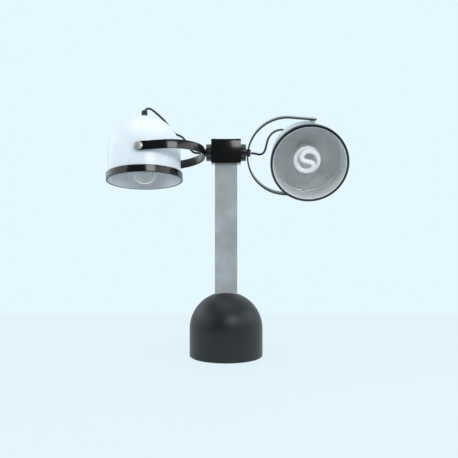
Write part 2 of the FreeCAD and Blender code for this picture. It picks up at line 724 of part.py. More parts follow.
def biarc(start, heading, end, last_heading):
    """Two tangent arcs from one point and heading to another."""
    chord = end - start
    total = heading + last_heading
    turn = 2 - 2 * heading.dot(last_heading)
    reach = chord.dot(total)
    if turn < 1e-9:
        pull = chord.dot(chord) / (2 * reach)
    else:
        pull = (-reach + math.sqrt(reach ** 2 + turn * chord.dot(chord))) / turn
    joint = (start + heading * pull + end - last_heading * pull) / 2
    meeting = (end - last_heading * pull - start - heading * pull).normalize()
    return [arc_from(start, heading, joint), arc_from(joint, meeting, end)]


COIL_STEPS = 12
coil_reach = math.radians(d.coil_turn) + d.bridge_softness


def coil_point(step):
    """The spiral tube's middle line: two legs that wind outward from a bridge over the front."""
    turned = math.hypot(step, d.bridge_softness) - d.bridge_softness
    radius = d.coil_radius * step / math.hypot(step, d.bridge_softness)
    angle = turned + math.radians(d.bridge_heading)
    height = -d.coil_front_drop + d.coil_pitch * turned / (2 * math.pi)
    return Vector(radius * math.cos(angle) - d.coil_shift, radius * math.sin(angle), height)


def coil_heading(step):
    return (coil_point(step + 1e-4) - coil_point(step - 1e-4)).normalize()


ballast_bottom = d.bulb_cap_end - d.bulb_cap_length - d.ballast_length


def leg_end(sign):
    """Where a leg turns up and goes straight into its socket: the turn's end and the leg's end."""
    last = coil_point(sign * coil_reach)
    flat = Vector(last.x, last.y, 0).normalize()
    onward = coil_heading(sign * coil_reach) * sign
    spot = flat * d.socket_circle + Vector(onward.x, onward.y, 0) * d.leg_lean
    top = ballast_bottom + d.socket_depth
    return Vector(spot.x, spot.y, top - 2 * d.coil_tube_radius), Vector(spot.x, spot.y, top)


def spiral(name):
    steps = [coil_reach * (n / COIL_STEPS) for n in range(-COIL_STEPS, COIL_STEPS + 1)]
    up = Vector(0, 0, 1)
    first_turn, first_end = leg_end(-1)
    last_turn, last_end = leg_end(1)
    edges = [Part.LineSegment(first_end, first_turn).toShape()]
    edges += biarc(first_turn, -up, coil_point(steps[0]), coil_heading(steps[0]))
    for one, two in zip(steps, steps[1:]):
        edges += biarc(coil_point(one), coil_heading(one), coil_point(two), coil_heading(two))
    edges += biarc(coil_point(steps[-1]), coil_heading(steps[-1]), last_turn, up)
    edges.append(Part.LineSegment(last_turn, last_end).toShape())
    path = Part.Wire(edges)
    section = Part.Wire(Part.Circle(first_end, up, d.coil_tube_radius).toShape())
    solid = path.makePipeShell([section], True, False)
    expected = math.pi * d.coil_tube_radius ** 2 * path.Length
    print(f"{name}: length {path.Length:.1f}, volume {solid.Volume:.0f}, expected {expected:.0f}")
    item = doc.addObject("Part::Feature", name)
    item.Shape = solid
    return item


def ballast(name):
    face = "(" + cap_bottom + " - ballast_length)"
    drum = rod(name + "_drum", "ballast_radius", "ballast_length / 2", z=face)
    cone = shape("Cone", name + "_cone", z=f"{face} + ballast_length / 2", Height="ballast_length / 2",
                 Radius1="ballast_radius", Radius2="bulb_cap_radius + ballast_shoulder")
    sockets = []
    for tag, sign in (("a", -1), ("b", 1)):
        spot = leg_end(sign)[0]
        socket = rod(f"{name}_socket_{tag}", "coil_tube_radius", "socket_depth", z=face)
        socket.setExpression("Placement.Base.x", None)
        socket.setExpression("Placement.Base.y", None)
        socket.Placement.Base.x = spot.x
        socket.Placement.Base.y = spot.y
        sockets.append(socket)
    return cut(name, fuse(name + "_body", drum, cone), *sockets)


# Both sides, each with its own bulb and flex

pivot_distance = (d.seat_gap + d.collar_length + d.strap_thick / 2
                  + d.shade_radius + d.strap_gap + d.strap_thick / 2 + d.arm_length)
SWING = {"left": d.left_swing, "right": -d.right_swing}
TILT = {"left": d.left_tilt, "right": d.right_tilt}
FLEX = {
    "left": [(-58, 3.5, 350.5), (-64.5, 10.5, 360), (-70.5, 18, 371.5), (-78, 26, 380.5), (-88, 32, 384.5),
             (-97, 33, 393), (-105, 28, 404.5), (-114, 22, 413.5), (-124, 18.5, 422),
             (-132.2, 16.4, 427.9), (-138.9, 14.9, 427)],
    "right": [(58.5, 1.5, 345.2), (65.9, 5.5, 349.8), (69.5, 12, 361.5), (73.2, 22, 376.5), (82, 34, 389),
              (96, 48, 396.5), (109, 64, 397.5), (121, 80, 393.5), (130.5, 89.5, 386.5), (136, 91.5, 377.5),
              (139, 86, 369.5)],
}

for side in ("left", "right"):
    yoke_place = side_frame(side) * Placement(Vector(), Rotation(Vector(1, 0, 0), SWING[side]))
    shade_place = yoke_place * Placement(Vector(pivot_distance, 0, 0), Rotation(Vector(0, 1, 0), TILT[side]))

    lead_start = "(terminal_width / 2 - lead_seat - drum_depth - block_width / 2)"
    lead = rod(f"lead_{side}_core", "flex_radius", f"{stud_end_x} - spigot_length - free_gap - {lead_start}",
               along="x", x=lead_start)
    piece(group(f"lead_{side}", lead), side_frame(side))

    piece(stud(f"stud_{side}"), yoke_place)
    piece(strap(f"strap_{side}"), yoke_place)
    piece(ring_nut(f"hub_nut_{side}", "hub_nut_radius", "hub_nut_length", "stud_radius", along="x",
                   x=hub_x), yoke_place)
    piece(ferrule(f"ferrule_{side}"), yoke_place)
    piece(ring_nut(f"swivel_nut_{side}", "swivel_nut_radius", "swivel_nut_length", "stud_radius",
                   along="x", x=swivel_nut_x), yoke_place)

    piece(shade(f"shade_{side}"), shade_place)
    piece(tube(f"rim_{side}", "shade_radius + rim_width", "shade_radius", "rim_height", z=mouth_z),
          shade_place)
    piece(gland(f"gland_{side}"), shade_place)
    piece(holder(f"holder_{side}"), shade_place)
    nipple_bottom = f"({holder_top} - thread_depth)"
    piece(tube(f"nipple_{side}", "nipple_radius", "nipple_bore", f"{nipple_top} - {nipple_bottom}",
               z=nipple_bottom), shade_place)
    piece(ring_nut(f"nipple_nut_{side}", "nipple_nut_radius", "nipple_nut_height", "nipple_radius",
                   z=f"dome_rise + {shade_inside} - nut_dish_gap - nipple_nut_height"), shade_place)
    contact = rod(f"contact_{side}_disc", "nipple_radius", "contact_height", z="bulb_cap_end")
    piece(group(f"contact_{side}", contact), shade_place)
    screws, spacers, nuts = pivots(side)
    piece(group(f"pivot_screws_{side}", *screws), shade_place)
    piece(group(f"pivot_spacers_{side}", *spacers), shade_place)
    piece(group(f"pivot_nuts_{side}", *nuts), shade_place)

    if side == "left":
        piece(hollow_cap("bulb_globe_cap"), shade_place)
        piece(globe("bulb_globe"), shade_place)
        stem = shape("Cone", "bulb_mount_stem", z=f"{cap_bottom} - stem_length + stem_tail",
                     Height="stem_length", Radius1="stem_radius",
                     Radius2="neck_radius - globe_wall - seat_gap")
        piece(group("bulb_mount", stem), shade_place)
    else:
        piece(hollow_cap("bulb_spiral_cap"), shade_place)
        piece(ballast("bulb_ballast"), shade_place)
        piece(spiral("bulb_spiral"), shade_place)

    doc.recompute()
    flex_start = d.seat_gap + d.collar_length + d.strap_thick + d.hub_nut_length - d.spigot_length
    seat_height = d.dome_rise + d.shade_radius + d.gland_height - d.cord_seat
    from_hub = [yoke_place.multVec(Vector(flex_start + out, 0, 0)) for out in (0, d.flex_first_run)]
    into_gland = [shade_place.multVec(Vector(0, 0, seat_height + out)) for out in (d.flex_last_run, 0)]
    cord(f"flex_{side}", from_hub + FLEX[side] + into_gland, d.flex_radius)
    print(f"flex_{side}: starts", from_hub, "ends", into_gland)

doc.recompute()

failed = [item.Name for item in doc.Objects if {"Invalid", "Error"} & set(item.State)]
failed += [item.Label for item in nodes if item.Shape.isNull() or not item.Shape.isValid()]
if failed:
    raise RuntimeError("not built: " + ", ".join(failed))

os.makedirs("parts", exist_ok=True)
for item in nodes:
    item.Shape.exportStep(f"parts/{item.Label}.step")
    print(f"{item.Label}: {len(item.Shape.Solids)} solids, {item.Shape.Volume:.0f} mm3")
print(len(nodes), "nodes")
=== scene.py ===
"""Looks of the twin-head searchlight lamp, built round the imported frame. Metres, +Z up, -Y towards the viewer."""

import json
import math

import bmesh
import bpy
from mathutils import Matrix, Vector


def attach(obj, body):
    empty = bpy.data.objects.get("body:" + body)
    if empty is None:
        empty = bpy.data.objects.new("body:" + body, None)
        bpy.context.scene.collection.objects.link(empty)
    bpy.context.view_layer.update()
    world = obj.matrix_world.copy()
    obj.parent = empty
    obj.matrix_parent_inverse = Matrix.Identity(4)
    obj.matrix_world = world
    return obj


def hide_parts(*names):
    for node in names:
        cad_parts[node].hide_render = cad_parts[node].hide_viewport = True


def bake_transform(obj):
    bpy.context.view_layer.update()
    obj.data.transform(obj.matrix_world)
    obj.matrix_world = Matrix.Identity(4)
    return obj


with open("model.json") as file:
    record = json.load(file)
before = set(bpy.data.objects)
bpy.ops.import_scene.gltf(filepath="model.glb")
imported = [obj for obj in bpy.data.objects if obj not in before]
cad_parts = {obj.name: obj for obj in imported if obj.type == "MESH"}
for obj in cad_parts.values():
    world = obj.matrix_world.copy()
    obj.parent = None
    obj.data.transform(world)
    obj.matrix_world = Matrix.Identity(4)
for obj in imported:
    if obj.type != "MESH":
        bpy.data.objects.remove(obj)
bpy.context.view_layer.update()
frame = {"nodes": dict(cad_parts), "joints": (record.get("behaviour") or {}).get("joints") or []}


# Camera
# The view is taken from a little above the table with a long lens. It is level and aimed straight along +Y,
# so the column stands upright in it.

CAMERA_PLACE = (0.005, -1.064, 0.2179)
CAMERA_LENS = 48.73
SENSOR_WIDTH = 36.0
collection = bpy.context.scene.collection

camera = bpy.data.objects.new("camera", bpy.data.cameras.new("camera"))
camera.data.lens = CAMERA_LENS
camera.data.sensor_width = SENSOR_WIDTH
camera.location = CAMERA_PLACE
camera.rotation_euler = (math.radians(90), 0, 0)
collection.objects.link(camera)
bpy.context.scene.camera = camera


# Flexes
# A black plastic-sheathed flex leaves each strap's hub through the ferrule, bows round the strap and
# goes into the gland on top of the shade. On the lamp it is clamped at both ends and bends when the shade
# tilts; here it is drawn along its rest route only and rides on no body.

MM = 0.001
FLEX_RADIUS = 1.9 * MM
FLEX_SIDES, CURVE_STEPS = 16, 12
FLEX_ROUTES = {
    "left": [(-39.387, 0, 348.420), (-50.360, 0, 347.653), (-58, 3.5, 350.5), (-64.5, 10.5, 360),
             (-70.5, 18, 371.5), (-78, 26, 380.5), (-88, 32, 384.5), (-97, 33, 393), (-105, 28, 404.5),
             (-114, 22, 413.5), (-124, 18.5, 422), (-132.2, 16.4, 427.9), (-138.9, 14.9, 427),
             (-141.802, 13.265, 421.580), (-141.646, 12.188, 415.070)],
    "right": [(39.381, 0, 348.344), (50.342, 0, 347.423), (58.5, 1.5, 345.2), (65.9, 5.5, 349.8),
              (69.5, 12, 361.5), (73.2, 22, 376.5), (82, 34, 389), (96, 48, 396.5), (109, 64, 397.5),
              (121, 80, 393.5), (130.5, 89.5, 386.5), (136, 91.5, 377.5), (139, 86, 369.5),
              (142.104, 76.397, 367.622), (141.915, 70.195, 365.373)],
}
COAT_ROUGHNESS = 0.05
MOTTLE, MOTTLE_DETAIL, GRAIN_DETAIL = 35.0, 4, 3
GRAIN_SHARE, SHARE_LOW = 0.45, 0.45


def finish(name, colour, roughness, metallic=0.0, grain=900.0, depth=0.03, drift=0.12,
           stretch=(1, 1, 1), coat=0.0, specular=0.5, along_uv=False):
    """A finish whose surface has a fine grain, and whose colour and gloss drift slowly over the piece."""
    material = bpy.data.materials.new(name)
    material.use_nodes = True
    tree = material.node_tree
    shader = tree.nodes["Principled BSDF"]
    shader.inputs["Metallic"].default_value = metallic
    shader.inputs["Coat Weight"].default_value = coat
    shader.inputs["Coat Roughness"].default_value = COAT_ROUGHNESS
    shader.inputs["Specular IOR Level"].default_value = specular
    place = tree.nodes.new("ShaderNodeTexCoord")
    mapping = tree.nodes.new("ShaderNodeMapping")
    mapping.inputs["Scale"].default_value = stretch
    tree.links.new(place.outputs["UV" if along_uv else "Object"], mapping.inputs["Vector"])
    fine = tree.nodes.new("ShaderNodeTexNoise")
    fine.inputs["Scale"].default_value = grain
    fine.inputs["Detail"].default_value = GRAIN_DETAIL
    tree.links.new(mapping.outputs["Vector"], fine.inputs["Vector"])
    slow = tree.nodes.new("ShaderNodeTexNoise")
    slow.inputs["Scale"].default_value = MOTTLE
    slow.inputs["Detail"].default_value = MOTTLE_DETAIL
    tree.links.new(place.outputs["Object"], slow.inputs["Vector"])
    blend = tree.nodes.new("ShaderNodeMath")
    blend.operation = "MULTIPLY_ADD"
    blend.inputs[1].default_value = GRAIN_SHARE
    tree.links.new(fine.outputs["Fac"], blend.inputs[0])
    tree.links.new(slow.outputs["Fac"], blend.inputs[2])
    share = tree.nodes.new("ShaderNodeMapRange")
    share.inputs["From Min"].default_value = SHARE_LOW
    share.inputs["From Max"].default_value = 1.0
    tree.links.new(blend.outputs[0], share.inputs["Value"])
    tint = tree.nodes.new("ShaderNodeMix")
    tint.data_type = "RGBA"
    tint.inputs["A"].default_value = (*(c * (1 - drift) for c in colour), 1)
    tint.inputs["B"].default_value = (*(min(1, c * (1 + drift)) for c in colour), 1)
    tree.links.new(share.outputs["Result"], tint.inputs["Factor"])
    tree.links.new(tint.outputs["Result"], shader.inputs["Base Color"])
    gloss = tree.nodes.new("ShaderNodeMapRange")
    gloss.inputs["To Min"].default_value = roughness * (1 - drift)
    gloss.inputs["To Max"].default_value = roughness * (1 + drift)
    tree.links.new(share.outputs["Result"], gloss.inputs["Value"])
    tree.links.new(gloss.outputs["Result"], shader.inputs["Roughness"])
    bump = tree.nodes.new("ShaderNodeBump")
    bump.inputs["Distance"].default_value = depth * MM
    tree.links.new(fine.outputs["Fac"], bump.inputs["Height"])
    tree.links.new(bump.outputs["Normal"], shader.inputs["Normal"])
    return material


def route_curve(name, points, radius=0.0):
    """A smooth line with the route's points, in mm, as its control points, thickened if a radius is given."""
    data = bpy.data.curves.new(name, "CURVE")
    data.dimensions = "3D"
    data.resolution_u = CURVE_STEPS
    data.bevel_depth = radius
    data.bevel_resolution = FLEX_SIDES // 4
    data.use_fill_caps = True
    spline = data.splines.new("NURBS")
    spline.points.add(len(points) - 1)
    for control, point in zip(spline.points, points):
        control.co = (*(v * MM for v in point), 1)
    spline.order_u = 3
    spline.use_endpoint_u = True
    return bpy.data.objects.new(name, data)


def mesh_from(source, name):
    """Turn a curve or a modified object into a plain mesh object."""
    collection.objects.link(source)
    depsgraph = bpy.context.evaluated_depsgraph_get()
    data = bpy.data.meshes.new_from_object(source.evaluated_get(depsgraph))
    bpy.data.objects.remove(source)
    data.name = name
    return bpy.data.objects.new(name, data)


SHARP = math.radians(38)


def mount(piece, body, slot, *replaced, materials=()):
    """Put a finished piece on its body, in place of its CAD nodes."""
    collection.objects.link(piece)
    for material in materials:
        piece.data.materials.append(material)
    piece.data.shade_smooth()
    piece.data.set_sharp_from_angle(angle=SHARP)
    if body:
        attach(piece, body)
    if replaced:
        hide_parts(*replaced)
    return piece


flex_plastic = finish("flex_plastic", (0.020, 0.022, 0.024), 0.38, grain=2500, depth=0.01, specular=0.4)
for side, route in FLEX_ROUTES.items():
    line = mesh_from(route_curve("line", route), "line")
    bpy.data.objects.remove(line)
    flex = mesh_from(route_curve("tube", route, FLEX_RADIUS), "cord_" + side)
    mount(flex, None, "flex_black", "flex_" + side, materials=[flex_plastic])
    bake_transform(flex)


# Base
# A steel cover, spun to a straight skirt under a half sphere and sprayed satin black, stands over a cast
# iron disc. A plate screwed up into the disc clamps the cover's lip, and a rubber ring goes on the table.

BASE_RADIUS, COVER_WALL, COVER_FOOT, SKIRT_TOP = 62.5, 1.5, 1.0, 47.5
LIP_RADIUS, LIP_BOTTOM = 54.0, 4.0
COLUMN_WIDTH, COLUMN_DEPTH, SLOT_GAP = 38.0, 20.0, 0.3
INLET_RADIUS, INLET_RISE, INLET_SIDES = 4.0, 36.0, 40
CUTTER_HEIGHT, CUTTER_RISE, CUTTER_REACH = 80.0, 110.0, 30.0
TURNS, EASE_STEPS, DOME_STEPS = 128, 4, 28
ON_AXIS = 1e-4


def bow(radius, rise, first, last, steps):
    """Corners of a section along a circle centred on the axis, between two angles above level."""
    angles = [math.radians(first + (last - first) * n / steps) for n in range(steps + 1)]
    return [(radius * math.cos(a), rise + radius * math.sin(a), 0) for a in angles]


def rounded(*corners):
    """A section line from corners (radius, height, softness) in mm, the soft ones eased into a small curve."""
    line = []
    for n, (radius, height, softness) in enumerate(corners):
        corner = Vector((radius, height))
        if not softness:
            line.append(corner)
            continue
        before = Vector(corners[n - 1][:2])
        after = Vector(corners[(n + 1) % len(corners)][:2])
        start = corner + (before - corner).normalized() * softness
        end = corner + (after - corner).normalized() * softness
        for step in range(EASE_STEPS + 1):
            t = step / EASE_STEPS
            line.append(start * (1 - t) ** 2 + corner * 2 * t * (1 - t) + end * t ** 2)
    return line


def turned(name, line, place=Matrix.Identity(4), ring=True, second=None, turns=TURNS):
    """Turn a section round its axis. A ring's section closes on itself, any other one ends on the axis.
    The faces between two numbered points of the line may be of a second material."""
    shape = bmesh.new()
    wrap = shape.loops.layers.uv.new("turn")
    rings = []
    for point in line:
        count = turns if point.x > ON_AXIS else 1
        angles = [2 * math.pi * k / turns for k in range(count)]
        rings.append([shape.verts.new((point.x * MM * math.cos(a), point.x * MM * math.sin(a), point.y * MM))
                      for a in angles])
    run = [0.0]
    for one, two in zip(line, line[1:] + line[:1]):
        run.append(run[-1] + (two - one).length * MM)
    for n in range(len(line) if ring else len(line) - 1):
        low, high = rings[n], rings[(n + 1) % len(rings)]
        for k in range(turns):
            spots = []
            for row, turn, height in ((low, k, n), (low, k + 1, n), (high, k + 1, n + 1), (high, k, n + 1)):
                vertex = row[turn % len(row)]
                if vertex not in [spot[0] for spot in spots]:
                    spots.append((vertex, (turn / turns, run[height])))
            face = shape.faces.new([spot[0] for spot in spots])
            face.material_index = int(bool(second) and second[0] <= n < second[1])
            for loop, spot in zip(face.loops, spots):
                loop[wrap].uv = spot[1]
    bmesh.ops.recalc_face_normals(shape, faces=shape.faces)
    data = bpy.data.meshes.new(name)
    shape.to_mesh(data)
    shape.free()
    data.transform(place)
    return bpy.data.objects.new(name, data)


cover_inside = BASE_RADIUS - COVER_WALL
cover_line = rounded(
    *bow(BASE_RADIUS, SKIRT_TOP, 90, 0, DOME_STEPS), (BASE_RADIUS, COVER_FOOT, 1.4), (cover_inside, COVER_FOOT, 0),
    (cover_inside, LIP_BOTTOM, 0), (LIP_RADIUS, LIP_BOTTOM, 0), (LIP_RADIUS, LIP_BOTTOM + COVER_WALL, 0),
    (cover_inside, LIP_BOTTOM + COVER_WALL, 0), *bow(cover_inside, SKIRT_TOP, 0, 90, DOME_STEPS))
cover = turned("cover", cover_line, ring=False)
hole_shapes = bmesh.new()
column_hole = Matrix.Diagonal(((COLUMN_WIDTH + 2 * SLOT_GAP) * MM, (COLUMN_DEPTH + 2 * SLOT_GAP) * MM,
                               CUTTER_HEIGHT * MM, 1))
bmesh.ops.create_cube(hole_shapes, size=1, matrix=Matrix.Translation((0, 0, CUTTER_RISE * MM)) @ column_hole)
inlet_place = Matrix.Translation((0, BASE_RADIUS * MM, INLET_RISE * MM)) @ Matrix.Rotation(math.radians(90), 4, "X")
bmesh.ops.create_cone(hole_shapes, cap_ends=True, segments=INLET_SIDES, radius1=INLET_RADIUS * MM,
                      radius2=INLET_RADIUS * MM, depth=CUTTER_REACH * MM, matrix=inlet_place)
hole_mesh = bpy.data.meshes.new("holes")
hole_shapes.to_mesh(hole_mesh)
hole_shapes.free()
holes = bpy.data.objects.new("holes", hole_mesh)
collection.objects.link(holes)
opening = cover.modifiers.new("openings", "BOOLEAN")
opening.operation = "DIFFERENCE"
opening.solver = "EXACT"
opening.object = holes
cover = mesh_from(cover, "base_cover_spun")
bpy.data.objects.remove(holes)


nodes = frame["nodes"]


def own(node, material):
    """Give a CAD node its finish."""
    piece = nodes[node]
    piece.data.materials.clear()
    piece.data.materials.append(material)


base_paint = finish("base_paint", (0.013, 0.015, 0.019), 0.4, grain=2200, depth=0.012, drift=0.1, specular=0.42)
cast_iron = finish("cast_iron", (0.06, 0.06, 0.06), 0.7, grain=700, depth=0.1)
rubber = finish("rubber", (0.02, 0.02, 0.02), 0.6, grain=1500, depth=0.03)
mount(cover, "stand", "black_satin", "base_cover", materials=[base_paint])
own("base_weight", cast_iron)
own("base_plate", base_paint)
own("base_pad", rubber)
own("inlet_grommet", rubber)


# Screws
# Zinc-plated pan heads with one slot. Four hold the block's lid and three hold the plate up to the iron
# disc. The screws and nuts that stay inside the lamp are of the same steel.

HEAD_SIDES = 32
SLOT_REACH = 20 * MM
TURN_SEED = 7
zinc = finish("zinc", (0.6, 0.6, 0.57), 0.35, metallic=1, grain=1200)


def sized_tree(name, sizes):
    """A node tree with a named input for each size, in metres, and one shape coming out."""
    tree = bpy.data.node_groups.new(name, "GeometryNodeTree")
    for label, size in sizes.items():
        tree.interface.new_socket(label, in_out="INPUT", socket_type="NodeSocketFloat").default_value = size
    tree.interface.new_socket("Geometry", in_out="OUTPUT", socket_type="NodeSocketGeometry")
    return tree, tree.nodes.new("NodeGroupInput").outputs


def add(tree, kind, links=(), **settings):
    """Put a node in a tree with its settings, and link or set each of its named inputs."""
    made = tree.nodes.new(kind)
    for label, value in settings.items():
        setattr(made, label, value)
    for label, source in dict(links).items():
        sources = source if isinstance(source, list) else [source]
        for one in sources:
            if isinstance(one, bpy.types.NodeSocket):
                tree.links.new(one, made.inputs[label])
            else:
                made.inputs[label].default_value = one
    return made


def grown(name, tree, shape, material, sizes, base=None):
    """End a tree with its material, set its sizes on a new object, and take the plain mesh that it makes."""
    joined = add(tree, "GeometryNodeRealizeInstances", {"Geometry": shape})
    painted = add(tree, "GeometryNodeSetMaterial", {"Geometry": joined.outputs[0], "Material": material})
    add(tree, "NodeGroupOutput", {"Geometry": painted.outputs[0]})
    piece = bpy.data.objects.new(name, base or bpy.data.meshes.new(name))
    step = piece.modifiers.new("grow", "NODES")
    step.node_group = tree
    for socket in tree.interface.items_tree:
        if socket.in_out == "INPUT" and socket.name in sizes:
            step[socket.identifier] = sizes[socket.name]
    return mesh_from(piece, name)


def times(tree, one, two):
    """One size times another size or a number."""
    product = add(tree, "ShaderNodeMath", operation="MULTIPLY")
    for n, value in enumerate((one, two)):
        if isinstance(value, bpy.types.NodeSocket):
            tree.links.new(value, product.inputs[n])
        else:
            product.inputs[n].default_value = value
    return product.outputs[0]


def raised(tree, shape, height):
    """The shape, moved up by a height."""
    up = add(tree, "ShaderNodeCombineXYZ", {"Z": height})
    return add(tree, "GeometryNodeTransform", {"Geometry": shape, "Translation": up.outputs[0]}).outputs[0]


def screws(name, sizes, place, layout, **layout_inputs):
    """Slotted screws whose heads rise from z = 0 of the place, one on each point of the layout."""
    tree, size = sized_tree(name + "_tree", sizes)
    lower = add(tree, "GeometryNodeMeshCylinder", {"Vertices": HEAD_SIDES, "Radius": size["Head radius"],
                                                   "Depth": size["Head height"]})
    crown = add(tree, "GeometryNodeMeshCone", {"Vertices": HEAD_SIDES, "Radius Bottom": size["Head radius"],
                                               "Radius Top": size["Crown radius"], "Depth": size["Crown height"]})
    slot_size = add(tree, "ShaderNodeCombineXYZ", {"X": SLOT_REACH, "Y": size["Slot width"], "Z": size["Slot depth"]})
    slot = add(tree, "GeometryNodeMeshCube", {"Size": slot_size.outputs[0]})
    shank = add(tree, "GeometryNodeMeshCylinder", {"Vertices": HEAD_SIDES, "Radius": size["Shank radius"],
                                                   "Depth": size["Shank length"]})
    top = add(tree, "ShaderNodeMath", operation="ADD")
    tree.links.new(size["Head height"], top.inputs[0])
    tree.links.new(size["Crown height"], top.inputs[1])
    disc = raised(tree, lower.outputs["Mesh"], times(tree, size["Head height"], 0.5))
    dome = raised(tree, crown.outputs["Mesh"], size["Head height"])
    whole = add(tree, "GeometryNodeMeshBoolean", {"Mesh 2": [disc, dome]}, operation="UNION", solver="EXACT")
    head = add(tree, "GeometryNodeMeshBoolean", {"Mesh 1": whole.outputs["Mesh"],
                                                 "Mesh 2": raised(tree, slot.outputs["Mesh"], top.outputs[0])},
               operation="DIFFERENCE", solver="EXACT")
    screw = add(tree, "GeometryNodeJoinGeometry", {"Geometry": [
        head.outputs["Mesh"], raised(tree, shank.outputs["Mesh"], times(tree, size["Shank length"], -0.5))]})
    points = add(tree, layout, {label.replace("_", " "): size[value] if isinstance(value, str) else value
                                for label, value in layout_inputs.items()})
    turn_of = add(tree, "FunctionNodeRandomValue", data_type="FLOAT_VECTOR")
    turn_of.inputs["Min"].default_value = (0, 0, 0)
    turn_of.inputs["Max"].default_value = (0, 0, math.pi)
    turn_of.inputs["Seed"].default_value = TURN_SEED
    copies = add(tree, "GeometryNodeInstanceOnPoints", {"Points": points.outputs["Mesh"],
                                                        "Instance": screw.outputs["Geometry"],
                                                        "Rotation": turn_of.outputs["Value"]})
    made = grown(name, tree, copies.outputs["Instances"], zinc, sizes)
    made.data.transform(place)
    return made


LID_TOP = 370.1
lid_screws = screws(
    "lid_screws",
    {"Head radius": 2.7 * MM, "Head height": 0.85 * MM, "Crown radius": 1.9 * MM, "Crown height": 0.35 * MM,
     "Slot width": 0.7 * MM, "Slot depth": 1.1 * MM, "Shank radius": 1.5 * MM, "Shank length": 8.5 * MM,
     "Spots along": 39.3 * MM, "Spots across": 25.0 * MM},
    Matrix.Translation((0, 0, LID_TOP * MM)), "GeometryNodeMeshGrid",
    Size_X="Spots along", Size_Y="Spots across", Vertices_X=2, Vertices_Y=2)
mount(lid_screws, "stand", "zinc_steel", "block_screws")
PLATE_BOTTOM = 2.0
plate_screws = screws(
    "plate_screws",
    {"Head radius": 3.8 * MM, "Head height": 1.1 * MM, "Crown radius": 2.9 * MM, "Crown height": 0.45 * MM,
     "Slot width": 0.9 * MM, "Slot depth": 1.4 * MM, "Shank radius": 2.0 * MM, "Shank length": 11.5 * MM,
     "Circle": 38.0 * MM},
    Matrix.Translation((0, 0, PLATE_BOTTOM * MM)) @ Matrix.Rotation(math.pi, 4, "X"), "GeometryNodeMeshCircle",
    Radius="Circle", Vertices=3)
mount(plate_screws, "stand", "zinc_steel", "base_screws")
for node in ("tie_rod", "tie_nuts", "drum_screws", "terminal_screw"):
    own(node, zinc)


# Column
# A flat steel tube, ground along its length to a satin finish and lacquered clear. The tie rod inside it
# pulls the block, the column and the iron disc together.

column_steel = finish("column_steel", (0.48, 0.52, 0.54), 0.36, metallic=0.4, grain=900, depth=0.012,
                      drift=0.2, stretch=(1, 1, 0.008), specular=0.4)
own("column", column_steel)
lead_plastic = finish("lead_plastic", (0.03, 0.03, 0.03), 0.5, grain=900)
own("column_lead", lead_plastic)


# Block and lid
# A steel box with a screwed lid, in a smooth black gloss coat. It holds the porcelain terminal block that
# joins the column's lead to the two flexes.

CRISP, FLAT = math.radians(40), math.radians(1)
LONG_EDGE, SOFT_EDGE, SOFT_STEPS, SAME_SPOT = 10.0, 0.45, 3, 0.001


def softened(name, node):
    """A copy of a CAD node with its long crisp edges rounded a little, as under a coat of paint."""
    shape = bmesh.new()
    shape.from_mesh(nodes[node].data)
    bmesh.ops.remove_doubles(shape, verts=shape.verts, dist=SAME_SPOT * MM)
    bmesh.ops.dissolve_limit(shape, angle_limit=FLAT, verts=shape.verts, edges=shape.edges)
    edges = [edge for edge in shape.edges if edge.is_manifold and edge.calc_length() > LONG_EDGE * MM
             and edge.calc_face_angle(0) > CRISP]
    bmesh.ops.bevel(shape, geom=edges, offset=SOFT_EDGE * MM, segments=SOFT_STEPS, profile=0.5, affect="EDGES",
                    clamp_overlap=True)
    data = bpy.data.meshes.new(name)
    shape.to_mesh(data)
    shape.free()
    return bpy.data.objects.new(name, data)


gloss_black = finish("gloss_black", (0.007, 0.0072, 0.0078), 0.14, grain=420, depth=0.003, drift=0.12,
                     specular=0.55)
porcelain = finish("porcelain", (0.8, 0.79, 0.75), 0.15, grain=500, depth=0.02)
mount(softened("block_box", "head_block"), "stand", "black_gloss", "head_block", materials=[gloss_black])
mount(softened("block_cover", "block_lid"), "stand", "black_gloss", "block_lid", materials=[gloss_black])
own("terminal_block", porcelain)


# Swivel drums
# A turned steel drum is screwed to each side of the block. Its bore carries the head's hollow stud, and
# it has the block's black gloss coat over fine lathe marks.

BLOCK_SIDE, SWIVEL_RISE = 25.15, 348.8
DRUM_RADIUS, DRUM_DEPTH, DRUM_BORE = 14.5, 8.8, 6.2
OUTWARD = {"left": Matrix.Rotation(math.radians(-90), 4, "Y"), "right": Matrix.Rotation(math.radians(90), 4, "Y")}
drum_black = finish("drum_black", (0.012, 0.0124, 0.013), 0.27, grain=1500, depth=0.006, drift=0.15,
                    stretch=(0.6, 1, 1), specular=0.6, along_uv=True)
for side, sign in (("left", -1), ("right", 1)):
    drum_line = rounded((DRUM_BORE, 0, 0), (DRUM_RADIUS, 0, 0.3), (DRUM_RADIUS, DRUM_DEPTH, 0.9),
                        (DRUM_BORE, DRUM_DEPTH, 0.4))
    drum = turned("turned_drum_" + side, drum_line,
                  Matrix.Translation((sign * BLOCK_SIDE * MM, 0, SWIVEL_RISE * MM)) @ OUTWARD[side])
    mount(drum, "stand", "black_gloss", "drum_" + side, materials=[drum_black])
    own("lead_" + side, lead_plastic)


# Yokes
# A strap of steel, bent to a U and rounded at its ends, is clamped between the collar of a hollow stud and
# a nut. All are in black gloss, and a nickel ferrule in the stud's mouth lets the flex out.

